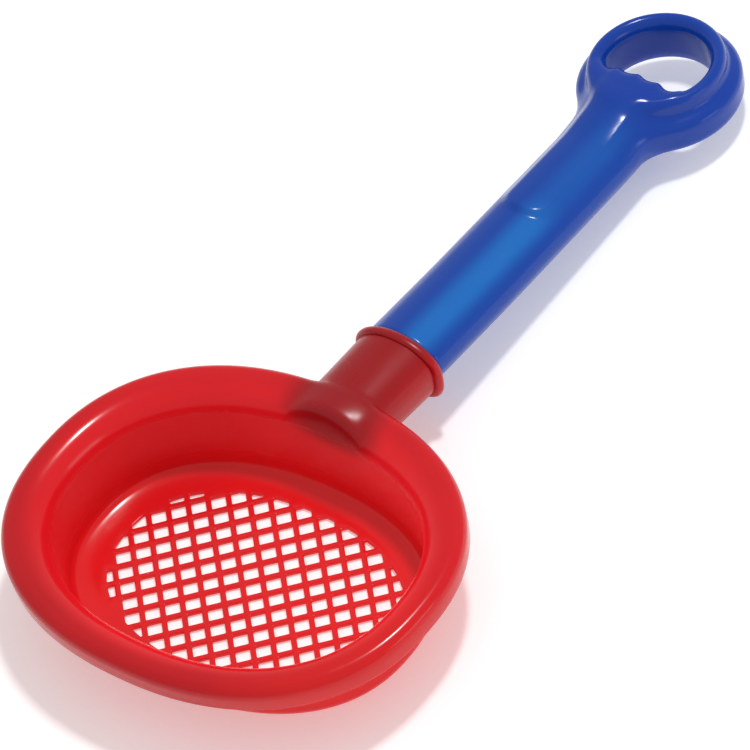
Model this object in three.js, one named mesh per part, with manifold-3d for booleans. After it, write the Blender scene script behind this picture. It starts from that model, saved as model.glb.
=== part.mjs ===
// A child's sand sieve in two plastic mouldings: an oval bowl with a grid floor and a socket on its
// rim, and a hollow handle with a ring grip whose stepped end pushes into that socket.
// Millimetres. +Z is up, +Y runs along the handle towards the ring, and the bowl stands on z = 0.
// The origin is the underside of the sieve floor, on the crossing of two bars beside the middle.
import * as THREE from "three";
import { mergeGeometries, mergeVertices } from "three/addons/utils/BufferGeometryUtils.js";
import Module from "manifold-3d";

// Sieve floor: square openings in a grid that runs diagonally across the bowl.
const OPENING = 5.7;
const BAR = 2.3;
const SIEVE_HALF_LENGTH = 64;
const SIEVE_HALF_BREADTH = 42;
const SIEVE_OFF_MIDDLE = 0.6; // from the nearest opening's middle back to the bowl's middle
const SMALLEST_SLIVER = 0.08; // part of a whole opening, below which the mould leaves the bars solid

// Bowl: half-lengths run across the handle (X), half-breadths along it (Y).
const WALL = 1.6;
const BOWL_DEPTH = 40.8;
const RIM_HALF_LENGTH = 94.6;
const RIM_HALF_BREADTH = 75.7;
const FLOOR_HALF_LENGTH = 71;
const FLOOR_HALF_BREADTH = 48.5;
const FLOOR_FILLET = 5.8;
const OVAL_POWER = 2.25; // 2 is an ellipse, and more is squarer

// Rolled rim: an arch over the top of the wall with a skirt hanging from its outer edge.
const RIM_OUTER_RADIUS = 5.6;
const RIM_FLAT = 4.2;
const RIM_INNER_RADIUS = 7.5;
const SKIRT = 5;

// Sections of the handle and its socket are ovals. A width is a half-width across the handle, and
// the half-height is that less the flatness, which keeps walls and clearances even all round.
const FLATNESS = 6.05;

// Socket: an oval tube through the rim with a bead round its mouth.
const SOCKET_STICKS_OUT = 30.8;
const SOCKET_FLARE = 0.65; // widening from the rim to the bead
const SOCKET_POWER = 3.2; // squareness of its lower half, where 2 is a plain oval
const MOUTH_BELOW_RIM = 12.4; // centre of the mouth, below the top of the rim
const BEAD_PROUD = 2.25; // how far the bead stands out from the end of the socket
const BEAD_LENGTH = 4.1;

// Handle: a tapered tube, stepped down at the socket, and a ring grip at its far end.
const HANDLE_SLOPE = THREE.MathUtils.degToRad(5);
const HANDLE_LENGTH = 170.6; // mouth of the socket to the middle of the ring
const TUBE_WIDTH = 18.2;
const TUBE_TAPER = 0.5;
const STEP = 2; // from the tube down to the part inside the socket
const BEND_START = 42; // from the mouth, where the handle turns up a little
const BEND_RISE = 3; // what the turn adds at the middle of the ring
const RING_LIFT = 5.4; // from the middle of the tube up to the middle of the ring's depth
const LIFT_RUN = 21;

// Ring grip: a raised bead round the finger opening, inside a lower band.
const RING_RADIUS = 33.7;
const BEAD_RADIUS = 28.2;
const RING_HALF_DEPTH = 11.2;
const BAND_DEPTH = 13.6; // up from the ring's underside
const RING_ROUNDING = 3.4;
const GRIP_RADIUS = 21.5; // round side of the finger opening
const GRIP_CHORD = 9.4; // its other side, this far from the ring's middle
const FINGERS = 4;
const FINGER_DEPTH = 1.4;

// Raised panel along the top of the tube, between the ring and a rounded end.
const PANEL_HALF_WIDTH = 11.3;
const PANEL_LENGTH = 92.6; // ring's middle to the tip of the rounded end
const PANEL_TIP = 8; // how far the rounded end reaches past its straight sides
const PANEL_RISE = 1;

// Fits.
const SLIDE_CLEARANCE = 0.3;
const END_CLEARANCE = 2.5;

// Facets.
const OVAL_SEGMENTS = 48;
const ROUND_SEGMENTS = 24;
const TUBE_STEPS = 10;
const ARC_STEPS = 2;

// Derived sizes.
const PITCH = OPENING + BAR;
const BOWL_MIDDLE = PITCH * Math.SQRT1_2 - SIEVE_OFF_MIDDLE;
const RIM_WIDTH = RIM_OUTER_RADIUS + RIM_FLAT + RIM_INNER_RADIUS;
const FLOOR_SPREAD = FLOOR_HALF_LENGTH - FLOOR_HALF_BREADTH;
const RIM_SPREAD = RIM_HALF_LENGTH - RIM_HALF_BREADTH;
const SPIGOT_WIDTH = TUBE_WIDTH - STEP;
const BORE_WIDTH = SPIGOT_WIDTH + SLIDE_CLEARANCE;
const SOCKET_WIDTH = BORE_WIDTH + WALL;
const BEAD_WIDTH = SOCKET_WIDTH + SOCKET_FLARE + BEAD_PROUD;
const MOUTH_HEIGHT = BOWL_DEPTH - MOUTH_BELOW_RIM;
const MOUTH_Y = BOWL_MIDDLE + RIM_HALF_BREADTH + SOCKET_STICKS_OUT;
const PAST_ALL = 2 * (BOWL_DEPTH + BEAD_WIDTH); // longer than any cut has to be

// How far the top of the socket stands above the rim, where the rim starts to bend down inside.
const SOCKET_RUN = SOCKET_STICKS_OUT + RIM_OUTER_RADIUS + RIM_FLAT;
const SOCKET_TOP = SOCKET_WIDTH - FLATNESS + SOCKET_RUN * Math.tan(HANDLE_SLOPE);
const SOCKET_OVER_RIM = SOCKET_TOP - MOUTH_BELOW_RIM;

// The part of the handle inside the socket stops short of the bowl's wall behind it.
const WALL_BEHIND = RIM_HALF_BREADTH - RIM_OUTER_RADIUS - RIM_FLAT;
const SOCKET_DEPTH = (MOUTH_Y - BOWL_MIDDLE - WALL_BEHIND) / Math.cos(HANDLE_SLOPE);
const SPIGOT_LENGTH = SOCKET_DEPTH - END_CLEARANCE;

// The tube meets the ring's bead at this distance, and has all of its lift there.
const LIFT_END = HANDLE_LENGTH - BEAD_RADIUS;

const wasm = await Module();
wasm.setup();

// A closed geometry as a solid that can be joined and cut.
function solid(geometry) {
  const bare = geometry.clone();
  bare.deleteAttribute("normal");
  bare.deleteAttribute("uv");
  const merged = mergeVertices(bare, 1e-4);
  const vertProperties = merged.getAttribute("position").array;
  const triVerts = new Uint32Array(merged.index.array);
  return new wasm.Manifold(new wasm.Mesh({ numProp: 3, vertProperties, triVerts }));
}

// A finished solid as a named mesh.
function namedMesh(name, body, material) {
  const { vertProperties, triVerts } = body.getMesh();
  const geometry = new THREE.BufferGeometry();
  geometry.setAttribute("position", new THREE.BufferAttribute(vertProperties, 3));
  geometry.setIndex(new THREE.BufferAttribute(triVerts, 1));
  geometry.computeVertexNormals();
  const mesh = new THREE.Mesh(geometry, material);
  mesh.name = name;
  return mesh;
}

// Distance from the middle of an oval to its edge, in the direction of an angle from X.
function ovalEdge(halfLength, halfBreadth, angle) {
  const across = Math.abs(Math.cos(angle) / halfLength) ** OVAL_POWER;
  const along = Math.abs(Math.sin(angle) / halfBreadth) ** OVAL_POWER;
  return (across + along) ** (-1 / OVAL_POWER);
}

// Turns a profile round the Z axis, then draws each of its circles out into an oval of the bowl.
// A circle of radius r becomes r long to each side, and narrower by the spread at its height.
function ovalLathe(points) {
  const geometry = new THREE.LatheGeometry(points, OVAL_SEGMENTS);
  geometry.rotateX(Math.PI / 2);
  const position = geometry.getAttribute("position");
  const vertex = new THREE.Vector3();
  for (let i = 0; i < position.count; i++) {
    vertex.fromBufferAttribute(position, i);
    const radius = Math.hypot(vertex.x, vertex.y);
    if (radius > 1e-3) {
      const angle = Math.atan2(vertex.y, vertex.x);
      const spread = THREE.MathUtils.mapLinear(vertex.z, 0, BOWL_DEPTH, FLOOR_SPREAD, RIM_SPREAD);
      const edge = ovalEdge(radius, radius - spread, angle);
      vertex.x = edge * Math.cos(angle);
      vertex.y = edge * Math.sin(angle);
    }
    position.setXYZ(i, vertex.x, vertex.y + BOWL_MIDDLE, vertex.z);
  }
  return geometry;
}

// The wall's two bends, and how far its straight stretch between them leans out from upright.
const floorBend = new THREE.Vector2(FLOOR_HALF_LENGTH, WALL + FLOOR_FILLET);
const rimBend = new THREE.Vector2(
  RIM_HALF_LENGTH - RIM_OUTER_RADIUS - RIM_FLAT,
  BOWL_DEPTH - RIM_INNER_RADIUS,
);
const bendToBend = rimBend.clone().sub(floorBend);
const WALL_LEAN =
  Math.acos((FLOOR_FILLET + RIM_INNER_RADIUS) / bendToBend.length()) - bendToBend.angle();

// The wall's face at an offset outwards from the inside, from the floor up to the start of the rim.
function wallFace(path, offset) {
  path.absarc(floorBend.x, floorBend.y, FLOOR_FILLET + offset, -Math.PI / 2, -WALL_LEAN, false);
}

// Section of the bowl: under the floor, up the outside, round the rim and back down the inside.
function bowlSection() {
  const path = new THREE.Path();
  const rimEdge = RIM_HALF_LENGTH - RIM_OUTER_RADIUS;
  const rimEdgeHeight = BOWL_DEPTH - RIM_OUTER_RADIUS;
  const lean = Math.PI - WALL_LEAN;
  path.moveTo(0, 0);
  path.lineTo(FLOOR_HALF_LENGTH, 0);
  wallFace(path, WALL);
  path.absarc(rimBend.x, rimBend.y, RIM_INNER_RADIUS - WALL, lean, Math.PI / 2, true);
  path.absarc(rimEdge, rimEdgeHeight, RIM_OUTER_RADIUS - WALL, Math.PI / 2, 0, true);
  path.lineTo(RIM_HALF_LENGTH - WALL, rimEdgeHeight - SKIRT);
  path.lineTo(RIM_HALF_LENGTH, rimEdgeHeight - SKIRT);
  path.absarc(rimEdge, rimEdgeHeight, RIM_OUTER_RADIUS, 0, Math.PI / 2, false);
  path.absarc(rimBend.x, rimBend.y, RIM_INNER_RADIUS, Math.PI / 2, lean, false);
  path.absarc(floorBend.x, floorBend.y, FLOOR_FILLET, -WALL_LEAN, -Math.PI / 2, true);
  path.lineTo(0, WALL);
  return path.getPoints(ARC_STEPS);
}

// Everything inside the wall, which is carried up to the top of the socket and rounded over there.
function insideOf(offset) {
  const path = new THREE.Path();
  const top = BOWL_DEPTH + PAST_ALL;
  const lean = Math.PI - WALL_LEAN;
  const bendHeight = rimBend.y + SOCKET_OVER_RIM;
  path.moveTo(0, WALL - offset);
  path.lineTo(FLOOR_HALF_LENGTH, WALL - offset);
  wallFace(path, offset);
  path.absarc(rimBend.x, bendHeight, RIM_INNER_RADIUS - offset, lean, Math.PI / 2, true);
  path.lineTo(rimBend.x, top);
  path.lineTo(0, top);
  return solid(ovalLathe(path.getPoints(ARC_STEPS)));
}

// The openings of the grid, cut off at the oval edge of the sieve.
function sieveOpenings() {
  const reach = Math.ceil((Math.SQRT2 * SIEVE_HALF_LENGTH) / PITCH);
  const height = 4 * WALL;
  const squares = [];
  for (let i = -reach; i < reach; i++) {
    for (let j = -reach; j < reach; j++) {
      const square = new THREE.BoxGeometry(OPENING, OPENING, height);
      square.translate((i + 0.5) * PITCH, (j + 0.5) * PITCH, 0);
      square.rotateZ(Math.PI / 4);
      squares.push(square);
    }
  }
  const edge = new THREE.Shape();
  for (let i = 0; i < 2 * OVAL_SEGMENTS; i++) {
    const angle = (i / OVAL_SEGMENTS) * Math.PI;
    const radius = ovalEdge(SIEVE_HALF_LENGTH, SIEVE_HALF_BREADTH, angle);
    const x = radius * Math.cos(angle);
    const y = radius * Math.sin(angle) + BOWL_MIDDLE;
    if (i === 0) edge.moveTo(x, y);
    else edge.lineTo(x, y);
  }
  const sieve = new THREE.ExtrudeGeometry(edge, { depth: height, bevelEnabled: false });
  sieve.translate(0, 0, -height / 2);
  const cut = solid(mergeGeometries(squares)).intersect(solid(sieve));
  const whole = OPENING * OPENING * height;
  return cut.decompose().filter((hole) => hole.volume() > SMALLEST_SLIVER * whole);
}

// Places a geometry made along +Y from the socket's mouth onto the sloping handle axis.
const handleAxis = new THREE.Matrix4().makeRotationX(-HANDLE_SLOPE);
handleAxis.setPosition(0, MOUTH_Y, MOUTH_HEIGHT);

// A solid about the handle's own axis, from a path of width against distance. Its sections are
// ovals, whose lower halves can be squarer than their upper halves.
function turned(path, lowerPower = 2) {
  const geometry = new THREE.LatheGeometry(path.getPoints(ARC_STEPS), ROUND_SEGMENTS);
  const position = geometry.getAttribute("position");
  for (let i = 0; i < position.count; i++) {
    const x = position.getX(i);
    const z = position.getZ(i);
    const width = Math.hypot(x, z);
    if (width < FLATNESS) continue;
    const power = z < 0 ? lowerPower : 2;
    const across = Math.min(1, Math.abs(x) / width) ** power;
    position.setZ(i, Math.sign(z) * (width - FLATNESS) * (1 - across) ** (1 / power));
  }
  return geometry;
}

// The socket's outside: a slightly flared tube up to a half-round bead at its mouth.
function socketOutside() {
  const path = new THREE.Path();
  const bead = BEAD_LENGTH / 2;
  const deepEnd = -SOCKET_DEPTH - RIM_WIDTH;
  path.moveTo(0, deepEnd);
  path.lineTo(SOCKET_WIDTH, deepEnd);
  path.lineTo(SOCKET_WIDTH, -SOCKET_STICKS_OUT);
  path.lineTo(SOCKET_WIDTH + SOCKET_FLARE, -BEAD_LENGTH);
  path.absarc(BEAD_WIDTH - bead, -bead, bead, -Math.PI / 2, Math.PI / 2, false);
  path.lineTo(0, 0);
  return turned(path, SOCKET_POWER).applyMatrix4(handleAxis);
}

// A plain oval rod about the handle's axis.
function rod(width, start, end) {
  const path = new THREE.Path();
  path.moveTo(0, start);
  path.lineTo(width, start);
  path.lineTo(width, end);
  path.lineTo(0, end);
  return turned(path);
}

// The bowl: shell, socket tube trimmed flush with the inside wall, blind bore and sieve openings.
function makeBowl() {
  const boreRod = rod(BORE_WIDTH, -SOCKET_DEPTH - RIM_WIDTH, WALL).applyMatrix4(handleAxis);
  const bore = solid(boreRod).subtract(insideOf(WALL));
  const socket = solid(socketOutside()).subtract(insideOf(0));
  let bowl = solid(ovalLathe(bowlSection())).add(socket).subtract(bore);
  for (const hole of sieveOpenings()) bowl = bowl.subtract(hole);
  return bowl;
}

// How far the handle's middle line is above its straight axis, from the bend alone.
function bendRise(distance) {
  const run = HANDLE_LENGTH - BEND_START;
  return (BEND_RISE * Math.max(0, distance - BEND_START)) / run;
}

// Raises each vertex of a geometry by a function of its distance along the handle.
function raised(geometry, rise) {
  const position = geometry.getAttribute("position");
  for (let i = 0; i < position.count; i++) {
    position.setZ(i, position.getZ(i) + rise(position.getY(i)));
  }
  return geometry;
}

// The outside of the tube, grown by some thickness, from one distance to another. It follows the
// bend, and lifts to the level of the ring just before it.
function tubeBetween(start, end, growth) {
  const path = new THREE.Path();
  path.moveTo(0, start);
  for (let i = 0; i <= TUBE_STEPS; i++) {
    const distance = THREE.MathUtils.lerp(start, end, i / TUBE_STEPS);
    const width = TUBE_WIDTH - (TUBE_TAPER * distance) / HANDLE_LENGTH;
    path.lineTo(width + growth, distance);
  }
  path.lineTo(0, end);
  const lift = (y) => RING_LIFT * THREE.MathUtils.smoothstep(y, LIFT_END - LIFT_RUN, LIFT_END);
  return raised(turned(path), (y) => bendRise(y) + lift(y));
}

// A disc in the ring's plane, from a path of radius against height above the ring's underside.
function ringTurned(path) {
  const disc = new THREE.LatheGeometry(path.getPoints(ARC_STEPS), 2 * ROUND_SEGMENTS);
  disc.rotateX(Math.PI / 2);
  disc.translate(0, HANDLE_LENGTH, RING_LIFT - RING_HALF_DEPTH);
  return solid(raised(disc, bendRise));
}

// The ring's outside as a full disc: a raised bead inside a lower band, on a flat underside.
function ringDisc() {
  const path = new THREE.Path();
  const right = Math.PI / 2;
  const round = RING_ROUNDING;
  const depth = 2 * RING_HALF_DEPTH;
  path.moveTo(0, 0);
  path.lineTo(RING_RADIUS - round, 0);
  path.absarc(RING_RADIUS - round, round, round, -right, 0, false);
  path.absarc(RING_RADIUS - round, BAND_DEPTH - round, round, 0, right, false);
  path.lineTo(BEAD_RADIUS, BAND_DEPTH);
  path.absarc(BEAD_RADIUS - round, depth - round, round, 0, right, false);
  path.lineTo(0, depth);
  return ringTurned(path);
}

// The hollow inside the ring, a wall's thickness in from its outside and its finger opening.
function ringHollow() {
  const path = new THREE.Path();
  const inner = GRIP_RADIUS + WALL;
  const band = RING_RADIUS - WALL;
  const bead = BEAD_RADIUS - WALL;
  const bandTop = BAND_DEPTH - WALL;
  const beadTop = 2 * RING_HALF_DEPTH - WALL;
  path.moveTo(inner, WALL);
  path.lineTo(band - WALL, WALL);
  path.lineTo(band, 2 * WALL);
  path.lineTo(band, bandTop - WALL);
  path.lineTo(band - WALL, bandTop);
  path.lineTo(bead, bandTop);
  path.lineTo(bead, beadTop - WALL);
  path.lineTo(bead - WALL, beadTop);
  path.lineTo(inner, beadTop);
  path.lineTo(inner, WALL);
  return ringTurned(path);
}

// A flat outline drawn in the ring's plane, cut from far below it to far above.
function throughCut(shape) {
  const cut = new THREE.ExtrudeGeometry(shape, { depth: PAST_ALL, bevelEnabled: false });
  cut.translate(0, 0, -PAST_ALL / 2);
  return solid(cut);
}

// The finger opening: a circle cut off by a chord that has a shallow groove for each finger.
function fingerOpening() {
  const halfChord = Math.sqrt(GRIP_RADIUS ** 2 - GRIP_CHORD ** 2);
  const chordY = HANDLE_LENGTH - GRIP_CHORD;
  const groove = (2 * halfChord) / FINGERS;
  const corner = Math.asin(GRIP_CHORD / GRIP_RADIUS);
  const shape = new THREE.Shape();
  shape.moveTo(-halfChord, chordY);
  for (let i = 0; i < FINGERS; i++) {
    const x = -halfChord + i * groove;
    shape.quadraticCurveTo(x + groove / 2, chordY - 2 * FINGER_DEPTH, x + groove, chordY);
  }
  shape.absarc(0, HANDLE_LENGTH, GRIP_RADIUS, -corner, Math.PI + corner, false);
  return throughCut(shape);
}

// The outline of the raised panel, from the ring's middle to a half-oval end part-way down the tube.
// It is cut upwards from the handle's axis, so that the underside stays plain.
function panelOutline() {
  const shape = new THREE.Shape();
  const tip = HANDLE_LENGTH - PANEL_LENGTH + PANEL_TIP;
  shape.moveTo(PANEL_HALF_WIDTH, HANDLE_LENGTH);
  shape.lineTo(-PANEL_HALF_WIDTH, HANDLE_LENGTH);
  shape.lineTo(-PANEL_HALF_WIDTH, tip);
  shape.absellipse(0, tip, PANEL_HALF_WIDTH, PANEL_TIP, -Math.PI, 0, false, 0);
  return solid(new THREE.ExtrudeGeometry(shape, { depth: PAST_ALL, bevelEnabled: false }));
}

// The handle: tube, stepped end, panel and ring, less the finger opening and the hollow inside.
function makeHandle() {
  const webStart = HANDLE_LENGTH - GRIP_CHORD - FINGER_DEPTH - WALL;
  const panelStart = HANDLE_LENGTH - PANEL_LENGTH - PANEL_TIP;
  const panel = solid(tubeBetween(panelStart, HANDLE_LENGTH, PANEL_RISE));
  return solid(tubeBetween(SLIDE_CLEARANCE, HANDLE_LENGTH, 0))
    .add(solid(rod(SPIGOT_WIDTH, -SPIGOT_LENGTH, WALL)))
    .add(panel.intersect(panelOutline()))
    .add(ringDisc())
    .subtract(fingerOpening())
    .subtract(solid(rod(SPIGOT_WIDTH - WALL, -SPIGOT_LENGTH - WALL, 3 * WALL)))
    .subtract(solid(tubeBetween(2 * WALL, webStart, -WALL)))
    .subtract(ringHollow());
}

const redPlastic = new THREE.MeshStandardMaterial({
  color: 0xd61f26,
  roughness: 0.22,
  metalness: 0,
});
const bluePlastic = new THREE.MeshStandardMaterial({
  color: 0x2348a0,
  roughness: 0.22,
  metalness: 0,
});

const scoop = new THREE.Group();
scoop.add(namedMesh("sieve_bowl", makeBowl(), redPlastic));

const handleGroup = new THREE.Group();
handleGroup.position.set(0, MOUTH_Y, MOUTH_HEIGHT);
handleGroup.rotation.x = -HANDLE_SLOPE;
handleGroup.add(namedMesh("ring_handle", makeHandle(), bluePlastic));
scoop.add(handleGroup);

export default scoop;
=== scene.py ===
import math

import bmesh
import bpy
import numpy as np
from mathutils import Matrix, Vector
from mathutils.geometry import delaunay_2d_cdt


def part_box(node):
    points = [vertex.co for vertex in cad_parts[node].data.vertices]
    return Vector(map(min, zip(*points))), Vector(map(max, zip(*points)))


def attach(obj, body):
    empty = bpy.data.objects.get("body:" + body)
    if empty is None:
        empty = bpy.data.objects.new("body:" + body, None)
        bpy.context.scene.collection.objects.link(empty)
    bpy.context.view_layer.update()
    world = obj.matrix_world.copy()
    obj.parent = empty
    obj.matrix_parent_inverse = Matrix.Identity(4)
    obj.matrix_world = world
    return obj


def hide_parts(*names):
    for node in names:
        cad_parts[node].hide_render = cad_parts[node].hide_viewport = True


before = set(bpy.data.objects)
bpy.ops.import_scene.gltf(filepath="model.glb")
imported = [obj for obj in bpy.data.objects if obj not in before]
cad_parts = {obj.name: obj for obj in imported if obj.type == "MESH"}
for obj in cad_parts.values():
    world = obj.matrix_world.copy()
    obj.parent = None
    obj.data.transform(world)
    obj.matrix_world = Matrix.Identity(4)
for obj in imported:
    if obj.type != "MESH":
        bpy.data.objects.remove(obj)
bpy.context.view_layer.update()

# ---------------------------------------------------------------------------------------------
# Sieve bowl
# One injection moulding in glossy red plastic, 1.6 mm thick: an oval bowl whose floor is the
# sieve, with a broad rolled rim, and a socket at the back that the handle is pushed into.
# ---------------------------------------------------------------------------------------------
MM = 0.001
bowl_low, bowl_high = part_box("sieve_bowl")

# The wall stands on the flat floor, rolls over into the rim, and ends in a short skirt.
WALL = 1.6
RIM_HALF_LENGTH = bowl_high.x / MM
RIM_SPREAD = 18.9        # the rim's half-length less its half-breadth
FLOOR_SPREAD = 22.5      # the same at the floor
BOWL_DEPTH = 40.8
OVAL_POWER = 2.25        # 2 is an ellipse, and more is squarer
FLOOR_HALF_LENGTH = 66.6
FLOOR_RISE_RADIUS = 20.0
FLOOR_RISE = 22.0        # degrees that the floor turns up by, gently, outside the sieve
FLOOR_FILLET = 4.0       # radius of the sharper bend from there into the wall
RIM_OUTER_RADIUS = 5.0
RIM_FLAT = 1.5
RIM_INNER_RADIUS = 11.0
SKIRT = 5.0
SIEVE_MARGIN = 66.4      # half-length of the oval where the wall's sheet meets the sieve plate
AROUND = 384             # steps round the oval
BACK_CROWDING = 0.4      # how much closer together they are at the back, by the socket
BEND_STEPS = 14
LIP_STEPS = 9


def spread_at(height):
    """Half-length less half-breadth, in proportion to the height between the floor and the rim."""
    return np.interp(height, [0, BOWL_DEPTH], [FLOOR_SPREAD, RIM_SPREAD])


RIM_EDGE = RIM_HALF_LENGTH - RIM_OUTER_RADIUS
RIM_EDGE_HEIGHT = BOWL_DEPTH - RIM_OUTER_RADIUS
RIM_BEND = RIM_EDGE - RIM_FLAT
RIM_BEND_HEIGHT = BOWL_DEPTH - RIM_INNER_RADIUS
BOWL_MIDDLE = bowl_low.y / MM + RIM_HALF_LENGTH - spread_at(RIM_EDGE_HEIGHT)
RISE_STEP = FLOOR_RISE_RADIUS - FLOOR_FILLET
FLOOR_BEND = FLOOR_HALF_LENGTH + RISE_STEP * math.sin(math.radians(FLOOR_RISE))
FLOOR_BEND_HEIGHT = WALL + FLOOR_RISE_RADIUS - RISE_STEP * math.cos(math.radians(FLOOR_RISE))


def arc(middle, radius, start, end, steps):
    """Points on a circular arc: the middle plus the radius in each direction from start to end."""
    angle = np.radians(np.linspace(start, end, steps))
    return np.stack([middle[0] + radius * np.cos(angle), middle[1] + radius * np.sin(angle)], 1)


def oval(radius, height, angle):
    """A circle's point drawn out to the bowl's oval: half-length is the radius, half-breadth is
    that less the spread, and the edge is a superellipse met in the direction of the angle."""
    half_breadth = radius - spread_at(height)
    across = np.abs(np.cos(angle) / radius) ** OVAL_POWER
    along = np.abs(np.sin(angle) / half_breadth) ** OVAL_POWER
    edge = (across + along) ** (-1 / OVAL_POWER)
    return edge * np.cos(angle), edge * np.sin(angle) + BOWL_MIDDLE


def around():
    """Angles round the oval, a circle's even steps pushed towards the back by a cosine."""
    even = np.linspace(0, 2 * np.pi, AROUND, endpoint=False)
    return even + BACK_CROWDING * np.cos(even)


def wall_lean():
    """Lean of the straight stretch that touches both bends of the wall, in degrees from upright."""
    run, rise = RIM_BEND - FLOOR_BEND, RIM_BEND_HEIGHT - FLOOR_BEND_HEIGHT
    touch = math.acos((FLOOR_FILLET + RIM_INNER_RADIUS) / math.hypot(run, rise))
    return math.degrees(touch - math.atan2(rise, run))


def wall_section():
    """The closed section of the sheet in two lists: from under the floor up the outside to the
    skirt's lower edge, and from there over the rim and back down the inside."""
    lean, turned = wall_lean(), FLOOR_RISE - 90
    floor_rise = (FLOOR_HALF_LENGTH, WALL + FLOOR_RISE_RADIUS)
    floor_bend = (FLOOR_BEND, FLOOR_BEND_HEIGHT)
    rim_bend = (RIM_BEND, RIM_BEND_HEIGHT)
    rim_edge = (RIM_EDGE, RIM_EDGE_HEIGHT)
    lip = (RIM_HALF_LENGTH - WALL / 2, RIM_EDGE_HEIGHT - SKIRT)
    under = np.concatenate([
        [(SIEVE_MARGIN, 0)],
        arc(floor_rise, FLOOR_RISE_RADIUS + WALL, -90, turned, BEND_STEPS),
        arc(floor_bend, FLOOR_FILLET + WALL, turned, -lean, BEND_STEPS)[1:],
        arc(rim_bend, RIM_INNER_RADIUS - WALL, 180 - lean, 90, BEND_STEPS),
        arc(rim_edge, RIM_OUTER_RADIUS - WALL, 90, 0, BEND_STEPS),
        arc(lip, WALL / 2, 180, 360, LIP_STEPS),
    ])
    upper = np.concatenate([
        arc(rim_edge, RIM_OUTER_RADIUS, 0, 90, BEND_STEPS),
        arc(rim_bend, RIM_INNER_RADIUS, 90, 180 - lean, 2 * BEND_STEPS),
        arc(floor_bend, FLOOR_FILLET, -lean, turned, BEND_STEPS),
        arc(floor_rise, FLOOR_RISE_RADIUS, turned, -90, BEND_STEPS)[1:],
        [(SIEVE_MARGIN, WALL)],
    ])
    return under, upper


# The socket's middle line leaves the rim at a slight slope, and the handle carries it on.
SLOPE = math.radians(5.0)
MOUTH_BELOW_RIM = 12.4
SOCKET_LENGTH = 30.8     # from the rim's outer edge to the mouth
MOUTH_HEIGHT = BOWL_DEPTH - MOUTH_BELOW_RIM
MOUTH_Y = BOWL_MIDDLE + RIM_HALF_LENGTH - RIM_SPREAD + SOCKET_LENGTH
FLATNESS = 6.05          # half-width less half-height, the same for every oval section
SOCKET_WIDTH = 18.1
SOCKET_TOP_CUT = 0.35    # the upper half is this much flatter than the lower
SIDE_FALL = 3.0          # how steeply the lift of the rim ends beside the socket
MERGE = 1.5              # how softly the rim rises over the socket
MERGE_PROUD = 0.15       # it stands this far above the socket over the wall
MERGE_UNDER = -0.25      # and dips this far into it at the rim's outer edge


def socket_top(x, y):
    """Height of the socket's top over a point: the sloping middle line plus the oval's
    half-height there, which falls away in a straight line outside the oval's width."""
    inside = np.sqrt(np.clip(1 - (x / SOCKET_WIDTH) ** 2, 0, 1))
    outside = np.maximum(0, np.abs(x) - SOCKET_WIDTH)
    half_height = (SOCKET_WIDTH - FLATNESS - SOCKET_TOP_CUT) * inside - SIDE_FALL * outside
    return MOUTH_HEIGHT + (half_height - (y - MOUTH_Y) * math.sin(SLOPE)) / math.cos(SLOPE)


def raise_over_socket(x, y, z, section, upper_face):
    """Lifts the rim's upper face by a soft maximum of its own height and the socket's top. The
    share of the lift is whole over the rim and eases to nothing down the bend inside it."""
    proud = np.interp(section[:, 0], [RIM_EDGE, RIM_HALF_LENGTH], [MERGE_PROUD, MERGE_UNDER])
    lift = MERGE * np.logaddexp(0, (socket_top(x, y) + proud - z) / MERGE)
    down = np.clip((section[:, 1] - RIM_BEND_HEIGHT) / RIM_INNER_RADIUS, 0, 1)
    share = np.where(section[:, 0] > RIM_BEND, 1, down * down * (3 - 2 * down))
    share[:upper_face] = 0
    return z + np.where(y > BOWL_MIDDLE, lift * share, 0)


def wall_grid():
    """The section carried round the oval: one row of the grid for each angle."""
    under, upper = wall_section()
    section = np.concatenate([under, upper])
    x, y = oval(section[None, :, 0], section[None, :, 1], around()[:, None])
    z = raise_over_socket(x, y, np.broadcast_to(section[:, 1], x.shape), section, len(under))
    return np.stack([x, y, z], -1)


def numbered(points):
    """The place in a flat list of each point of a grid."""
    return np.arange(points.shape[0] * points.shape[1]).reshape(points.shape[:2])


def closed_grid(points):
    """Quads between neighbours of a grid that closes on itself both ways."""
    index = numbered(points)
    right, up = np.roll(index, -1, 0), np.roll(index, -1, 1)
    both = np.roll(right, -1, 1)
    return points.reshape(-1, 3), np.stack([index, right, both, up], -1).reshape(-1, 4)


def side_quads(points):
    """Quads between rings of points, with each ring closed and both ends of the tube open."""
    index = numbered(points)
    across = np.roll(index, -1, 1)
    return np.stack([index[:-1], across[:-1], across[1:], index[1:]], -1).reshape(-1, 4)


def tube_grid(points):
    """Quads between rings of a tube, and one flat face closing each end."""
    index = numbered(points)
    ends = [tuple(index[0][::-1]), tuple(index[-1])]
    return points.reshape(-1, 3), [tuple(q) for q in side_quads(points)] + ends


def new_object(name, vertices, faces):
    """A mesh object at the origin, from points in millimetres, with its faces turned outwards."""
    mesh = bpy.data.meshes.new(name)
    places = (np.asarray(vertices, float) * MM).tolist()
    mesh.from_pydata(places, [], [tuple(map(int, face)) for face in faces])
    mesh.validate()
    work = bmesh.new()
    work.from_mesh(mesh)
    bmesh.ops.recalc_face_normals(work, faces=work.faces)
    work.to_mesh(mesh)
    work.free()
    thing = bpy.data.objects.new(name, mesh)
    bpy.context.scene.collection.objects.link(thing)
    return thing


bowl = new_object("sieve_bowl_moulding", *closed_grid(wall_grid()))

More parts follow.
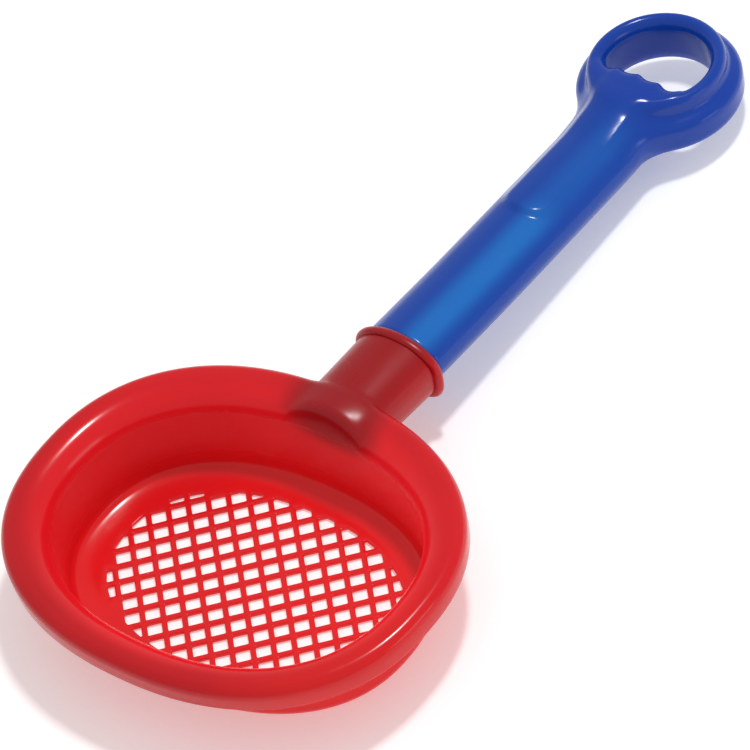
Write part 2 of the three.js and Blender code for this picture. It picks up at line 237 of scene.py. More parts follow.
# The socket is an oval tube with a half-round bead round its mouth. Its lower half is squarer than
# its upper half, and its bore stops short of the bowl's inner wall.
BEAD_WIDTH = 21.0
BEAD_LENGTH = 4.1
BEAD_TOP_CUT = 1.1
BEAD_STEPS = 13
SOCKET_FLARE = 0.65
SOCKET_POWER = 3.2
SOCKET_STEPS = 12
BORE_WIDTH = 16.5
BORE_DEPTH = 41.0
LEAD_IN = 0.6            # the bevel at the bore's mouth
TUBE_SIDES = 96


def on_axis(x, along, up):
    """A point of the handle's own frame, x across, along from the mouth and up from the axis."""
    y = MOUTH_Y + along * math.cos(SLOPE) + up * math.sin(SLOPE)
    z = MOUTH_HEIGHT - along * math.sin(SLOPE) + up * math.cos(SLOPE)
    return np.stack(np.broadcast_arrays(x, y, z), -1)


def oval_section(width, top_cut, power):
    """Across and up for each side of the tube: an ellipse above, and below a superellipse."""
    angle = np.linspace(0, 2 * np.pi, TUBE_SIDES, endpoint=False)
    cos, sin = np.cos(angle), np.sin(angle)
    exponent = np.where(sin < 0, 2 / power, 1.0)
    across = width * np.sign(cos) * np.abs(cos) ** exponent
    height = width - FLATNESS - np.where(sin > 0, top_cut, 0)
    return across, height * np.sign(sin) * np.abs(sin) ** exponent


def socket_start(x, z):
    """Distance along Y at which the tube starts: half-way through the sheet of the wall, which
    follows the rim's inner bend in height and the bowl's oval in plan."""
    rim_mid = RIM_INNER_RADIUS - WALL / 2
    rise = np.clip((z - RIM_BEND_HEIGHT) / rim_mid, 0, 1)
    radius = RIM_BEND - rim_mid * np.sqrt(1 - rise ** 2)
    breadth = radius - spread_at(np.minimum(z, BOWL_DEPTH))
    sag = 1 - (1 - np.abs(x / radius) ** OVAL_POWER) ** (1 / OVAL_POWER)
    return BOWL_MIDDLE + breadth * (1 - sag)


def socket_tube():
    """Rings of the socket's outside: the oval widens evenly to the mouth, then swells over the
    bead's half circle. The first ring is let into the bowl's wall."""
    bead = np.radians(np.linspace(-90, 90, BEAD_STEPS))
    rings = []
    for along in np.linspace(-SOCKET_LENGTH, -BEAD_LENGTH, SOCKET_STEPS):
        width = SOCKET_WIDTH + SOCKET_FLARE * (1 + along / SOCKET_LENGTH)
        rings.append((along, width, SOCKET_TOP_CUT))
    half = BEAD_LENGTH / 2
    for turn in bead:
        cut = SOCKET_TOP_CUT + (BEAD_TOP_CUT - SOCKET_TOP_CUT) * math.cos(turn)
        along, width = half * (math.sin(turn) - 1), BEAD_WIDTH + half * (math.cos(turn) - 1)
        rings.append((along, width, cut))
    points = []
    for along, width, cut in rings:
        across, up = oval_section(width, cut, SOCKET_POWER)
        points.append(on_axis(across, along, up))
    first = points[0].copy()
    first[:, 2] += (points[0][:, 1] - socket_start(first[:, 0], first[:, 2])) * math.tan(SLOPE)
    first[:, 1] = socket_start(first[:, 0], first[:, 2])
    return np.array([first] + points)


def bore_rod():
    """A plain oval rod that widens over the last of its length, past the socket's mouth."""
    across, up = oval_section(BORE_WIDTH, 0, 2)
    wider = 1 + 2 * LEAD_IN / BORE_WIDTH
    rings = [(-BORE_DEPTH, 1), (-LEAD_IN, 1), (LEAD_IN, wider)]
    return np.array([on_axis(across * scale, along, up * scale) for along, scale in rings])


def combine(target, tool, operation):
    """Joins the tool to the target, or cuts it away, and removes the tool."""
    modifier = target.modifiers.new(operation, "BOOLEAN")
    modifier.operation = operation
    modifier.solver = "EXACT"
    modifier.object = tool
    graph = bpy.context.evaluated_depsgraph_get()
    result = bpy.data.meshes.new_from_object(target.evaluated_get(graph))
    target.modifiers.clear()
    old = target.data
    target.data = result
    bpy.data.meshes.remove(old)
    bpy.data.objects.remove(tool)


combine(bowl, new_object("socket", *tube_grid(socket_tube())), "UNION")
combine(bowl, new_object("bore", *tube_grid(bore_rod())), "DIFFERENCE")

# The sieve is the floor inside the wall: a grid of bars that runs diagonally across the bowl, with
# square openings whose corners and edges are slightly rounded.
OPENING = 5.7
BAR = 2.3
PITCH = OPENING + BAR
SIEVE_HALF_LENGTH = 64.0
SIEVE_HALF_BREADTH = 42.0
CORNER_RADIUS = 0.45
EDGE_RADIUS = 0.4
UNDER_EDGE_RADIUS = EDGE_RADIUS / 2
DRAFT = 0.12             # the openings widen by this on each side towards the underside
SMALLEST_OPENING = 1.0   # square millimetres, of the part inside the corners' roundings
SHORTEST_EDGE = 0.25
SIEVE_MIDDLE = (0.5, BOWL_MIDDLE + 0.4)
OPENINGS_EACH_WAY = 13   # counted from the middle, enough to pass the edge of the sieve
ARC_POINTS = 4
TRIANGLES = 0            # the kind of answer asked of the triangulation
TOUCHING = 1e-5          # points nearer than this are one point
ON_SEAM = 1e-3
WELD = 2e-6              # metres
BOWL_CREASE = 38         # degrees


def cut_by(polygon, normal, limit):
    """The part of a convex polygon on the near side of a line, by clipping each of its edges."""
    kept = []
    for a, b in zip(polygon, np.roll(polygon, -1, 0)):
        side_a, side_b = a @ normal - limit, b @ normal - limit
        if side_a <= 0:
            kept.append(a)
        if side_a * side_b < 0:
            kept.append(a + (b - a) * side_a / (side_a - side_b))
    return np.array(kept)


def opening_corners():
    """Corners of each opening, drawn in by the corner radius. An opening at the edge of the sieve
    is cut off along the tangent of its oval, which is a superellipse."""
    halves = np.array([SIEVE_HALF_LENGTH, SIEVE_HALF_BREADTH])
    half = OPENING / 2 - CORNER_RADIUS
    turn = math.sqrt(0.5)
    square = np.array([(-half, -half), (half, -half), (half, half), (-half, half)])
    diagonal = np.array([(turn, turn), (-turn, turn)])
    steps = range(-OPENINGS_EACH_WAY, OPENINGS_EACH_WAY)
    found = []
    for i in steps:
        for j in steps:
            corners = (square + np.array([(i + 0.5) * PITCH, (j + 0.5) * PITCH])) @ diagonal
            middle = corners.mean(0) - SIEVE_MIDDLE
            power = np.abs(middle / halves) ** OVAL_POWER
            edge = middle * power.sum() ** (-1 / OVAL_POWER)
            normal = np.sign(edge) * np.abs(edge / halves) ** (OVAL_POWER - 1) / halves
            normal /= np.linalg.norm(normal)
            limit = (edge + SIEVE_MIDDLE) @ normal - CORNER_RADIUS
            kept = cut_by(corners, normal, limit)
            if len(kept) < 3:
                continue
            edges = np.linalg.norm(kept - np.roll(kept, -1, 0), axis=1)
            kept = kept[edges > SHORTEST_EDGE]
            x, y = kept.T
            area = 0.5 * abs(x @ np.roll(y, -1) - y @ np.roll(x, -1))
            if len(kept) > 2 and area > SMALLEST_OPENING:
                found.append(kept)
    return found


def rounded_loop(corners, radius):
    """A loop at the radius outside a convex polygon: an arc about each corner, from the direction
    square to the edge before it to the direction square to the edge after it."""
    after = np.roll(corners, -1, 0) - corners
    outward = np.arctan2(-after[:, 0], after[:, 1])
    before = np.roll(outward, 1)
    swing = (outward - before) % (2 * np.pi)
    angle = before[:, None] + swing[:, None] * np.linspace(0, 1, ARC_POINTS)[None, :]
    ring = corners[:, None, :] + radius * np.stack([np.cos(angle), np.sin(angle)], -1)
    return ring.reshape(-1, 2)


def opening_levels():
    """Offset and height of each loop down an opening: a quarter circle at the upper edge, a wall
    that leans out by the draft, and a smaller quarter circle at the lower edge."""
    turn = np.radians(np.linspace(0, 90, ARC_POINTS))
    sunk, drawn_in = 1 - np.cos(turn), 1 - np.sin(turn)
    top = np.stack([EDGE_RADIUS * drawn_in, WALL - EDGE_RADIUS * sunk], 1)
    bottom = np.stack([DRAFT + UNDER_EDGE_RADIUS * sunk, UNDER_EDGE_RADIUS * drawn_in], 1)
    return np.concatenate([top, bottom])


def plate_face(loops, height):
    """Triangles of the flat face between the outer loop and the openings' loops: the ones whose
    three corners are on one opening's loop fill that opening, and are left out."""
    points = np.concatenate(loops)
    lengths = [len(loop) for loop in loops]
    owner = np.repeat(np.arange(len(loops)), lengths)
    first = np.cumsum([0] + lengths)
    edges = []
    for start, length in zip(first, lengths):
        around_loop = start + np.arange(length)
        edges += np.stack([around_loop, np.roll(around_loop, -1)], 1).tolist()
    out = delaunay_2d_cdt([Vector(p) for p in points], edges, [], TRIANGLES, TOUCHING)
    origin = np.array([ids[0] for ids in out[3]])
    triangles = np.array(out[2])
    holders = owner[origin[triangles]]
    within_one = (holders[:, 0] == holders[:, 1]) & (holders[:, 1] == holders[:, 2])
    kept = triangles[~(within_one & (holders[:, 0] > 0))]
    flat = np.array([tuple(p) for p in out[0]])
    return np.c_[flat, np.full(len(flat), height)], kept


def sieve_plate():
    """Top face, underside and the walls of every opening, as one list of points and faces."""
    angle = around()
    openings = opening_corners()
    levels = opening_levels()
    pieces = []
    for height, offset in ((WALL, levels[0, 0]), (0.0, levels[-1, 0])):
        outer = np.stack(oval(np.full(AROUND, SIEVE_MARGIN), height, angle), 1)
        loops = [outer] + [rounded_loop(c, CORNER_RADIUS + offset) for c in openings]
        pieces.append(plate_face(loops, height))
    for corners in openings:
        rings = []
        for offset, height in levels:
            loop = rounded_loop(corners, CORNER_RADIUS + offset)
            rings.append(np.c_[loop, np.full(len(loop), height)])
        pieces.append((np.concatenate(rings), side_quads(np.array(rings))))
    points, faces, base = [], [], 0
    for vertices, polygons in pieces:
        points.append(vertices)
        faces += [tuple(base + int(v) for v in f) for f in polygons]
        base += len(vertices)
    return np.concatenate(points), faces


def close_floor(target, plate):
    """Takes away the wall's inner edge, whose points are on the seam's superellipse, and welds the
    wall and the plate into one skin there."""
    work = bmesh.new()
    work.from_mesh(target.data)
    x, y, z = np.array([vertex.co for vertex in work.verts]).T / MM
    reach = np.abs(x / SIEVE_MARGIN) ** OVAL_POWER
    reach += np.abs((y - BOWL_MIDDLE) / (SIEVE_MARGIN - spread_at(z))) ** OVAL_POWER
    on_seam = np.abs(reach - 1) < ON_SEAM
    strip = [face for face in work.faces if all(on_seam[v.index] for v in face.verts)]
    bmesh.ops.delete(work, geom=strip, context="FACES")
    work.from_mesh(plate.data)
    bmesh.ops.remove_doubles(work, verts=work.verts, dist=WELD)
    bmesh.ops.recalc_face_normals(work, faces=work.faces)
    work.to_mesh(target.data)
    work.free()
    bpy.data.objects.remove(plate)


close_floor(bowl, new_object("plate", *sieve_plate()))


def smooth_but_creased(thing, degrees):
    """Smooth shading, with edges sharper than an angle kept crisp."""
    thing.data.shade_smooth()
    thing.data.set_sharp_from_angle(angle=math.radians(degrees))


smooth_but_creased(bowl, BOWL_CREASE)
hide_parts("sieve_bowl")
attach(bowl, "bowl")

# The plastic is glossy and lets some light through. That light is painted: a painted glow inside
# the bowl, where the wall is thin and lit from both sides, and a painted shadow where the handle's
# end stands behind it.
NOISE_ROUGHNESS = 0.55
FADE_OF_A_PLACE = (1.0, 0.05)
SCUFFS, SCUFF_STRETCH, SCUFF_EDGE = 130.0, (1, 0.3, 1), (0.5, 0.8)
HAZE, HAZE_SHARE = 45.0, 0.6
SCUFF_ROUGHNESS = 0.08
WAVES = 32.0
GRAIN, GRAIN_SHARE = 900.0, 0.02
BUMP_STRENGTH, BUMP_DEPTH = 0.35, 0.0006
GLOSSY = 0.15            # the roughness where nothing has scuffed it
SHINE = 0.4
PLASTIC_IOR = 1.45


class Value:
    """A shader socket that is reckoned with as a number is."""

    def __init__(self, finish, socket):
        self.finish = finish
        self.socket = socket

    def _with(self, operation, *terms):
        return self.finish.node("ShaderNodeMath", {"operation": operation}, dict(enumerate(terms)))

    def __add__(self, other):
        return self._with("ADD", self, other)

    def __sub__(self, other):
        return self._with("SUBTRACT", self, other)

    def __rsub__(self, other):
        return self._with("SUBTRACT", other, self)

    def __mul__(self, other):
        return self._with("MULTIPLY", self, other)

    def __truediv__(self, other):
        return self._with("DIVIDE", self, other)

    def __rtruediv__(self, other):
        return self._with("DIVIDE", other, self)

    def __abs__(self):
        return self._with("ABSOLUTE", self)

    __radd__ = __add__
    __rmul__ = __mul__


class Finish:
    """A material being made: its node tree, and one way to add any node to it."""

    def __init__(self, name):
        self.material = bpy.data.materials.new(name)
        self.material.use_nodes = True
        self.tree = self.material.node_tree
        self.shader = self.tree.nodes["Principled BSDF"]

    def node(self, kind, settings=None, inputs=None, output=0):
        """Adds a node, sets its settings, then sets or links its inputs, and returns one output."""
        made = self.tree.nodes.new(kind)
        for name, value in (settings or {}).items():
            setattr(made, name, value)
        for key, value in (inputs or {}).items():
            self.feed(made.inputs[key], value)
        return Value(self, made.outputs[output])

    def feed(self, socket, value):
        if isinstance(value, Value):
            self.tree.links.new(value.socket, socket)
        else:
            socket.default_value = value

    def place(self):
        """Object coordinates in metres, as x, y and z and as one vector."""
        whole = self.node("ShaderNodeTexCoord", output=3)
        split = self.node("ShaderNodeSeparateXYZ", None, {0: whole})
        return [Value(self, part) for part in split.socket.node.outputs], whole

    def noise(self, vector, scale, detail=3.0, stretch=(1, 1, 1)):
        """Cloudy noise, with a number of clouds to the metre."""
        mapped = self.node("ShaderNodeMapping", None, {"Vector": vector, "Scale": stretch})
        wanted = {"Vector": mapped, "Scale": scale, "Detail": detail, "Roughness": NOISE_ROUGHNESS}
        return self.node("ShaderNodeTexNoise", None, wanted)

    def ramp(self, value, low, high):
        """0 at low and 1 at high, easing between."""
        wanted = {"Value": value, "From Min": low, "From Max": high}
        return self.node("ShaderNodeMapRange", {"interpolation_type": "SMOOTHSTEP"}, wanted)

    def mix(self, share, first, second):
        """The first colour, turned to the second by a share from 0 to 1."""
        colours = {0: share, 6: first, 7: second}
        return self.node("ShaderNodeMix", {"data_type": "RGBA"}, colours, output=2)

    def near(self, xyz, middle, size):
        """1 at a place and 0 outside an ellipsoid of the given half-sizes about it."""
        total = None
        for part, at, half in zip(xyz, middle, size):
            offset = (part - at) / half
            square = offset * offset
            total = square if total is None else total + square
        return self.ramp(total, *FADE_OF_A_PLACE)

    def gloss(self, vector, roughness, wave):
        """Roughness with faint scuffs, and a bump of moulding waviness and fine grain."""
        scuffs = self.ramp(self.noise(vector, SCUFFS, 3.0, SCUFF_STRETCH), *SCUFF_EDGE)
        haze = self.noise(vector, HAZE, 2.0) * HAZE_SHARE
        self.feed(self.shader.inputs["Roughness"], roughness + SCUFF_ROUGHNESS * (scuffs + haze))
        waves = self.noise(vector, WAVES, 1.0) * wave
        grain = self.noise(vector, GRAIN, 2.0) * GRAIN_SHARE
        wanted = {"Strength": BUMP_STRENGTH, "Distance": BUMP_DEPTH, "Height": waves + grain}
        self.feed(self.shader.inputs["Normal"], self.node("ShaderNodeBump", None, wanted))

    def depth(self, weight, reach, spread):
        """Light that goes a little way into the plastic, and a plain plastic's reflection."""
        self.shader.inputs["Subsurface Weight"].default_value = weight
        self.shader.inputs["Subsurface Radius"].default_value = spread
        self.shader.inputs["Subsurface Scale"].default_value = reach
        self.shader.inputs["Specular IOR Level"].default_value = SHINE
        self.shader.inputs["IOR"].default_value = PLASTIC_IOR


# RED is the plastic's own colour. The lighter red is painted light, and the darker reds are painted
# shade and a painted shadow; the first darker red also gives random mottling. The emitted colour is
# a painted glow.
RED = (0.70, 0.007, 0.013, 1)
RED_PAINTED_LIGHT = (0.80, 0.012, 0.012, 1)
RED_PAINTED_SHADE_AND_MOTTLE = (0.31, 0.003, 0.006, 1)
RED_PAINTED_SHADOW = (0.33, 0.006, 0.010, 1)
PAINTED_GLOW = (0.21, 0.005, 0.007, 1)
NO_GLOW = (0, 0, 0, 1)
# Places on the bowl, in metres. A pair is where a mask is 0 and where it is 1.
INNER_OVAL = (0.086, 0.067)
OUT_TO_IN = (1.12, 0.85)         # in parts of that oval, squared
LOW_WALL = (0.026, 0.003)
INNER_WALL_FOOT, INNER_WALL_HEAD = (0.007, 0.013), (0.035, 0.028)
LIT_SIDE, LEAST_LIT = (-0.07, 0.04), 0.45
FRONT_LEFT, FRONT_LEFT_LEAN = (0.02, -0.07), 0.45
FRONT_RIGHT = ((0.085, -0.035, 0.03), (0.055, 0.06, 0.06))
SPIGOT_SHADOW = ((0.003, 0.066, 0.038), (0.028, 0.018, 0.014))
SOCKET_FROM, SOCKET_SIDES, SOCKET_FOOT = (0.057, 0.070), (0.028, 0.012), (0.004, 0.026)
CLOUDS, CLOUD_EDGE = 14.0, (0.35, 0.75)
# the low wall's lighter colour is painted light, and its painted glow is dimmed there
LOW_PAINTED_LIGHT, LOW_DIMMING = 0.5, 0.6  # the low wall is brighter in colour but glows less
FRONT_PAINTED_SHADE, FRONT_PAINTED_LIGHT, CLOUDINESS = 0.3, 0.6, 0.15
SOCKET_PAINTED_SHADE, SPIGOT_PAINTED_SHADOW = 0.9, 0.8
MATT_SOCKET, MATT_WALL = 0.10, 0.16
RED_WAVE = 0.06
RED_DEPTH = (0.12, 0.003, (1.0, 0.12, 0.06))


def red_plastic():
    finish = Finish("red_plastic")
    (x, y, z), whole = finish.place()
    across, along = x / INNER_OVAL[0], (y - BOWL_MIDDLE * MM) / INNER_OVAL[1]
    inside = finish.ramp(across * across + along * along, *OUT_TO_IN)
    # painted light: the lower part of the bowl is painted a lighter red
    low_wall = finish.ramp(z, *LOW_WALL)
    # painted light on the front right of the rim
    front_right = finish.near((x, y, z), *FRONT_RIGHT)
    # painted shade on the front left of the rim, outside the bowl
    front_left = finish.ramp(x * FRONT_LEFT_LEAN + y, *FRONT_LEFT) * (1 - inside)
    clouds = finish.ramp(finish.noise(whole, CLOUDS, 2.0), *CLOUD_EDGE)
    # painted shade over the socket
    beside = finish.ramp(abs(x), *SOCKET_SIDES)
    socket = finish.ramp(y, *SOCKET_FROM) * beside * finish.ramp(z, *SOCKET_FOOT)
    # painted shadow where the handle's end stands behind the wall
    shadow = finish.near((x, y, z), *SPIGOT_SHADOW)

    colour = finish.mix(low_wall * LOW_PAINTED_LIGHT, RED, RED_PAINTED_LIGHT)
    colour = finish.mix(front_left * FRONT_PAINTED_SHADE, colour, RED_PAINTED_SHADE_AND_MOTTLE)
    colour = finish.mix(front_right * FRONT_PAINTED_LIGHT, colour, RED_PAINTED_LIGHT)
    colour = finish.mix(clouds * CLOUDINESS, colour, RED_PAINTED_SHADE_AND_MOTTLE)
    colour = finish.mix(socket * SOCKET_PAINTED_SHADE, colour, RED_PAINTED_SHADE_AND_MOTTLE)
    colour = finish.mix(shadow * SPIGOT_PAINTED_SHADOW, colour, RED_PAINTED_SHADOW)
    finish.feed(finish.shader.inputs["Base Color"], colour)

    # painted glow: an emitted colour inside the bowl, stronger on the lit side, in place of light
    # coming through the wall
    lit = LEAST_LIT + (1 - LEAST_LIT) * finish.ramp(x, *LIT_SIDE)
    painted_glow = inside * lit * (1 - shadow) * (1 - low_wall * LOW_DIMMING)
    finish.feed(finish.shader.inputs["Emission Color"], finish.mix(painted_glow, NO_GLOW, PAINTED_GLOW))
    finish.shader.inputs["Emission Strength"].default_value = 1.0

    wall = inside * finish.ramp(z, *INNER_WALL_FOOT) * finish.ramp(z, *INNER_WALL_HEAD)
    finish.gloss(whole, GLOSSY + socket * MATT_SOCKET + wall * MATT_WALL, RED_WAVE)
    finish.depth(*RED_DEPTH)
    return finish.material


bowl.data.materials.clear()
bowl.data.materials.append(red_plastic())

# ---------------------------------------------------------------------------------------------
# Ring handle
# One hollow blow moulding in glossy blue plastic. An oval tube, stepped down inside the socket,
# carries a low keyhole panel and swells into a ring with four finger grooves in its opening.
# ---------------------------------------------------------------------------------------------
TUBE_WIDTH = 18.2
TUBE_TAPER = 0.5
SPIGOT_WIDTH = 16.2
SPIGOT_LENGTH = 38.1
HANDLE_WALL = 1.6
SHOULDER = 0.3
SHOULDER_ROUND = 1.2
SPIGOT_ROUND = 1.5
SPIGOT_OVERLAP = 4.0     # how far it runs on inside the tube
HOLLOW_END = 40.0
HOLLOW_ROUND = 6.0
OPEN_END_ROUND = 0.6
RING_AT = 170.6          # from the mouth of the socket to the middle of the ring
BEND_START, BEND_RISE, BEND_SOFTNESS = 42.0, 3.0, 6.0
TOP_LIFT, TOP_LIFT_FROM, TOP_LIFT_TO = 3.2, RING_AT - 50, RING_AT - 26
UNDER_LIFT, UNDER_LIFT_FROM, UNDER_LIFT_TO = 5.5, RING_AT - 36, RING_AT - 6
RING_RADIUS = 33.6       # the ring is a flat band with a narrower, taller bead on it
BEAD_RADIUS = 28.2
RING_UNDER, BAND_TOP = -5.8, 7.8
BEAD_UNDER, BEAD_TOP = -4.8, 16.9
RING_ROUND = 4.0
BAND_TO_BEAD, TUBE_TO_RING = 4.0, 7.0
GRIP_ROUND = 7.0         # of the opening's edges
GRIP_RADIUS = 21.5
GRIP_CHORD = 9.4
GRIP_CORNER = 4.5
GROOVE_PITCH = 9.65
GROOVE_DEPTH = 1.3
PANEL_WIDTH = 11.3
PANEL_LENGTH = 92.6
PANEL_TIP = 8.0
PANEL_RISE = 1.6
PANEL_STEP = 3.8         # width of the slope round the panel
PANEL_FADE = (-2, 3)     # heights on the tube's side between which the panel dies away
CELL = 0.8               # grid step of the handle's surface
ROOM = 3                 # of the grid past the handle's ends and sides
GRID_UNDER, GRID_TOP = -16, 25
NUDGE = 0.02             # for the slope of a field, by differences
SETTLING_PASSES = 4
LEAST_SLOPE = 0.2
LONGEST_MOVE = 0.4       # of a grid step
TINY = 1e-6
HANDLE_CREASE = 60       # degrees


def smoothstep(low, high, value):
    """0 below low and 1 above high, with a cubic between."""
    share = np.clip((value - low) / (high - low), 0, 1)
    return share * share * (3 - 2 * share)


def soft_min(a, b, blend):
    """The smaller of two fields, less a parabola that rounds their crease over the blend."""
    share = np.clip(0.5 + 0.5 * (b - a) / blend, 0, 1)
    return b + (a - b) * share - blend * share * (1 - share)


def soft_max(a, b, blend):
    """The larger of two fields, rounded in the same way."""
    return -soft_min(-a, -b, blend)


def oval_field(x, z, width, height):
    """Roughly the distance outside an ellipse: its level less one, over the level's gradient."""
    level = np.sqrt((x / width) ** 2 + (z / height) ** 2)
    gradient = np.sqrt((x / width ** 2) ** 2 + (z / height ** 2) ** 2)
    return (level - 1) * level / np.maximum(gradient, TINY)


def disc_field(radius, z, edge, low, high, rounding):
    """Distance outside a flat round disc between two heights, with rounded edges."""
    out = radius - edge + rounding
    half = (high - low) / 2
    over = np.abs(z - (low + high) / 2) - half + rounding
    outside = np.hypot(np.maximum(out, 0), np.maximum(over, 0))
    return outside + np.minimum(np.maximum(out, over), 0) - rounding


def bend(along):
    """The handle's gentle upward turn past the socket, a ramp with a rounded start."""
    run = along - BEND_START
    return BEND_RISE / (RING_AT - BEND_START) * 0.5 * (run + np.hypot(run, BEND_SOFTNESS))


def tube_field(x, along, z):
    """The tube: ovals whose top lifts to the ring's level before the ring and whose bottom lifts
    inside it, raised inside the panel's outline."""
    width = TUBE_WIDTH - TUBE_TAPER * along / RING_AT
    height = width - FLATNESS
    top = height + TOP_LIFT * smoothstep(TOP_LIFT_FROM, TOP_LIFT_TO, along)
    bottom = -height + UNDER_LIFT * smoothstep(UNDER_LIFT_FROM, UNDER_LIFT_TO, along)
    field = oval_field(x, z - (top + bottom) / 2, width, (top - bottom) / 2)
    tip = RING_AT - PANEL_LENGTH + PANEL_TIP
    behind = np.maximum(0, tip - along)
    outline = (np.hypot(x / PANEL_WIDTH, behind / PANEL_TIP) - 1) * PANEL_TIP
    panel = smoothstep(PANEL_STEP / 2, -PANEL_STEP / 2, outline) * smoothstep(*PANEL_FADE, z)
    field = field - PANEL_RISE * panel
    field = soft_max(field, SHOULDER - along, SHOULDER_ROUND)
    return np.maximum(field, along - RING_AT)


def grip_field(x, along):
    """The finger opening in plan: a circle cut off by a chord, with the grooves that half waves
    of a sine make along the chord."""
    from_middle = along - RING_AT
    circle = np.hypot(x, from_middle) - GRIP_RADIUS
    groove = GROOVE_DEPTH * np.abs(np.sin(np.pi * x / GROOVE_PITCH))
    chord = -(from_middle + GRIP_CHORD + groove)
    return soft_max(circle, chord, GRIP_CORNER)


def handle_field(x, along, up):
    """Negative inside the handle: the tube, spigot and ring softly joined, less the finger
    opening and the hollow that is seen from the open end."""
    z = up - bend(along)
    radius = np.hypot(x, along - RING_AT)
    band = disc_field(radius, z, RING_RADIUS, RING_UNDER, BAND_TOP, RING_ROUND)
    bead = disc_field(radius, z, BEAD_RADIUS, BEAD_UNDER, BEAD_TOP, RING_ROUND)
    ring = soft_min(band, bead, BAND_TO_BEAD)
    body = soft_min(tube_field(x, along, z), ring, TUBE_TO_RING)
    body = soft_max(body, -grip_field(x, along), GRIP_ROUND)
    spigot = oval_field(x, up, SPIGOT_WIDTH, SPIGOT_WIDTH - FLATNESS)
    spigot = soft_max(spigot, -SPIGOT_LENGTH - along, SPIGOT_ROUND)
    spigot = np.maximum(spigot, along - SPIGOT_OVERLAP)
    hollow_width = SPIGOT_WIDTH - HANDLE_WALL
    hollow = oval_field(x, up, hollow_width, hollow_width - FLATNESS)
    hollow = soft_max(hollow, along - HOLLOW_END, HOLLOW_ROUND)
    return soft_max(np.minimum(body, spigot), -hollow, OPEN_END_ROUND)


def surface_of(field, low, high, step):
    """The zero surface of a field. Each grid cell that it passes through holds one point, the mean
    of its crossings on the cell's edges, and each crossed edge joins its four cells by a quad.
    The points are then moved down the field's gradient onto the surface."""
    axes = [np.arange(a, b + step, step) for a, b in zip(low, high)]
    values = field(axes[0][:, None, None], axes[1][None, :, None], axes[2][None, None, :])
    shape = np.array(values.shape)
    strides = np.array([shape[1] * shape[2], shape[2], 1])
    sums = np.zeros((3, values.size))
    counts = np.zeros(values.size)
    quads = []
    for axis in range(3):
        ahead = [slice(None)] * 3
        behind = [slice(None)] * 3
        ahead[axis], behind[axis] = slice(1, None), slice(None, -1)
        a, b = values[tuple(behind)], values[tuple(ahead)]
        at = np.argwhere((a < 0) != (b < 0))
        start, end = a[tuple(at.T)], b[tuple(at.T)]
        spots = at.astype(float)
        spots[:, axis] += start / (start - end)
        u, v = (axis + 1) % 3, (axis + 2) % 3
        ids = at @ strides
        ring = np.stack([ids, ids - strides[u], ids - strides[u] - strides[v], ids - strides[v]], 1)
        for corner in ring.T:
            counts += np.bincount(corner, minlength=values.size)
            for k in range(3):
                sums[k] += np.bincount(corner, spots[:, k], minlength=values.size)
        quads.append(np.where((start < 0)[:, None], ring, ring[:, ::-1]))
    used = np.flatnonzero(counts)
    renumber = np.zeros(values.size, int)
    renumber[used] = np.arange(len(used))
    points = (sums[:, used] / counts[used]).T * step + np.array(low)
    nudges = np.eye(3) * NUDGE
    farthest = LONGEST_MOVE * step
    for _ in range(SETTLING_PASSES):
        rise = [field(*(points + d).T) - field(*(points - d).T) for d in nudges]
        slope = np.stack(rise, 1) / (2 * NUDGE)
        steepness = np.maximum((slope ** 2).sum(1), LEAST_SLOPE)
        move = (field(*points.T) / steepness)[:, None] * slope
        points = points - np.clip(move, -farthest, farthest)
    return points, renumber[np.concatenate(quads)]


def handle_surface():
    """The handle's surface, carried from its own frame onto the socket's sloping axis."""
    low = (-RING_RADIUS - ROOM, -SPIGOT_LENGTH - ROOM, GRID_UNDER)
    high = (RING_RADIUS + ROOM, RING_AT + RING_RADIUS + ROOM, GRID_TOP)
    points, quads = surface_of(handle_field, low, high, CELL)
    return on_axis(*points.T), quads


handle = new_object("ring_handle_moulding", *handle_surface())
smooth_but_creased(handle, HANDLE_CREASE)
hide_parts("ring_handle")
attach(handle, "handle")

# The blue plastic is glossy and nearly opaque, with a broad stripe of painted light along its lit
# side.
BLUE = (0.004, 0.058, 0.38, 1)
BLUE_DEEP = (0.006, 0.040, 0.36, 1)
BLUE_LIT = (0.008, 0.155, 0.54, 1)
RING_FROM = (0.235, 0.262)
PANEL_TO = (0.205, 0.185)
STRIPE_LEFT, STRIPE_RIGHT = (-0.002, 0.007), (0.0165, 0.010)
STRIPE_FOOT = (0.024, 0.030)
STRIPE_BY_RING, STRIPE_ON_TUBE = 0.35, 0.95
BLUE_CLOUDS = 18.0
BLUE_CLOUDINESS, RING_DEEP = 0.3, 0.35
BLUE_WAVE = 0.6
BLUE_DEPTH = (0.08, 0.002, (0.1, 0.3, 1.0))


def blue_plastic():
    finish = Finish("blue_plastic")
    (x, y, z), whole = finish.place()
    clouds = finish.ramp(finish.noise(whole, BLUE_CLOUDS), *CLOUD_EDGE)
    ring = finish.ramp(y, *RING_FROM)
    # painted light: a lighter stripe along the tube's lit side, fainter by the ring and none on it
    stripe = finish.ramp(x, *STRIPE_LEFT) * finish.ramp(x, *STRIPE_RIGHT)
    stripe = stripe * finish.ramp(z, *STRIPE_FOOT)
    strength = STRIPE_BY_RING + (STRIPE_ON_TUBE - STRIPE_BY_RING) * finish.ramp(y, *PANEL_TO)
    colour = finish.mix(clouds * BLUE_CLOUDINESS, BLUE, BLUE_DEEP)
    colour = finish.mix(stripe * strength * (1 - ring), colour, BLUE_LIT)
    colour = finish.mix(ring * RING_DEEP, colour, BLUE_DEEP)
    finish.feed(finish.shader.inputs["Base Color"], colour)
    finish.gloss(whole, GLOSSY, BLUE_WAVE)
    finish.depth(*BLUE_DEPTH)
    return finish.material


handle.data.materials.clear()
handle.data.materials.append(blue_plastic())

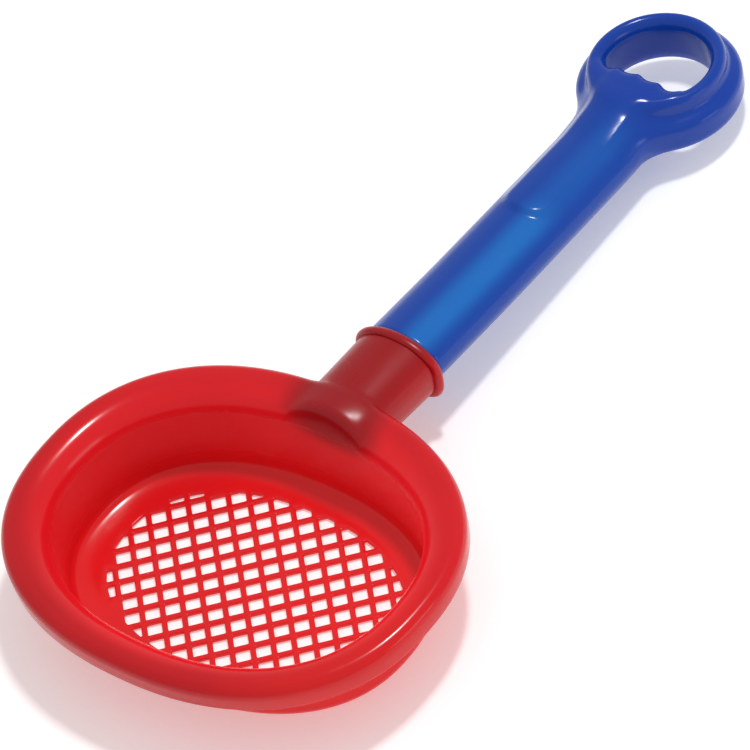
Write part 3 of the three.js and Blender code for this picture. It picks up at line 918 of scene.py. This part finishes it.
# ---------------------------------------------------------------------------------------------
# Floor, light and camera
# A plain pale floor under a soft bright sky, a small lamp overhead for the crisp glints, and a
# broad panel to the right and behind, which adds a little to the stripe of painted light along the
# tube.
# ---------------------------------------------------------------------------------------------
FLOOR_SIZE = 6.0
FLOOR_DROP = 0.0004
FLOOR_WHITE = (0.93, 0.93, 0.93, 1)
FLOOR_GLOW = 0.28
FLOOR_ROUGHNESS, FLOOR_SHINE = 0.8, 0.2
SKY_STRENGTH = 0.52
LIT_PLACE = Vector((0, 0.08, 0.02))
CAMERA_PLACE = Vector((1.4288, -1.0943, 1.9875))
CAMERA_BACKWARD = Vector((0.52972, -0.44113, 0.72443))
CAMERA_UPWARD = Vector((-0.33712, 0.67424, 0.65708))
CAMERA_LENS = 336.0


def make_floor():
    """A flat square a little below the scoop."""
    half = FLOOR_SIZE / 2
    corners = [(-half, -half, -FLOOR_DROP), (half, -half, -FLOOR_DROP),
               (half, half, -FLOOR_DROP), (-half, half, -FLOOR_DROP)]
    mesh = bpy.data.meshes.new("floor")
    mesh.from_pydata(corners, [], [(0, 1, 2, 3)])
    floor = bpy.data.objects.new("floor", mesh)
    bpy.context.scene.collection.objects.link(floor)
    finish = Finish("pale_floor")
    finish.shader.inputs["Base Color"].default_value = FLOOR_WHITE
    finish.shader.inputs["Roughness"].default_value = FLOOR_ROUGHNESS
    finish.shader.inputs["Specular IOR Level"].default_value = FLOOR_SHINE
    finish.shader.inputs["Emission Color"].default_value = (1, 1, 1, 1)
    finish.shader.inputs["Emission Strength"].default_value = FLOOR_GLOW
    mesh.materials.append(finish.material)


def panel_light(name, direction, distance, size, power):
    """An area light in a direction from the scoop, turned to face it."""
    data = bpy.data.lights.new(name, "AREA")
    data.shape = "RECTANGLE"
    data.size, data.size_y = size
    data.energy = power
    lamp = bpy.data.objects.new(name, data)
    bpy.context.scene.collection.objects.link(lamp)
    toward = Vector(direction).normalized()
    lamp.location = LIT_PLACE + toward * distance
    lamp.rotation_euler = toward.to_track_quat("Z", "Y").to_euler()


make_floor()
panel_light("overhead_lamp", (0.08, 0.28, 0.95), distance=2.0, size=(0.20, 0.20), power=17)
panel_light("side_panel", (0.93, 0.25, 0.22), distance=1.8, size=(0.8, 0.4), power=2)

world = bpy.data.worlds.new("studio")
bpy.context.scene.world = world
world.use_nodes = True
sky = world.node_tree.nodes["Background"]
sky.inputs["Color"].default_value = (1, 1, 1, 1)
sky.inputs["Strength"].default_value = SKY_STRENGTH

camera_data = bpy.data.cameras.new("camera")
camera_data.lens = CAMERA_LENS
camera_data.clip_end = 50.0
camera = bpy.data.objects.new("camera", camera_data)
bpy.context.scene.collection.objects.link(camera)
sideways = CAMERA_UPWARD.cross(CAMERA_BACKWARD)
turn = Matrix((sideways, CAMERA_UPWARD, CAMERA_BACKWARD)).transposed()
camera.matrix_world = Matrix.Translation(CAMERA_PLACE) @ turn.to_4x4()
bpy.context.scene.camera = camera
bpy.context.scene.view_settings.view_transform = "Standard"
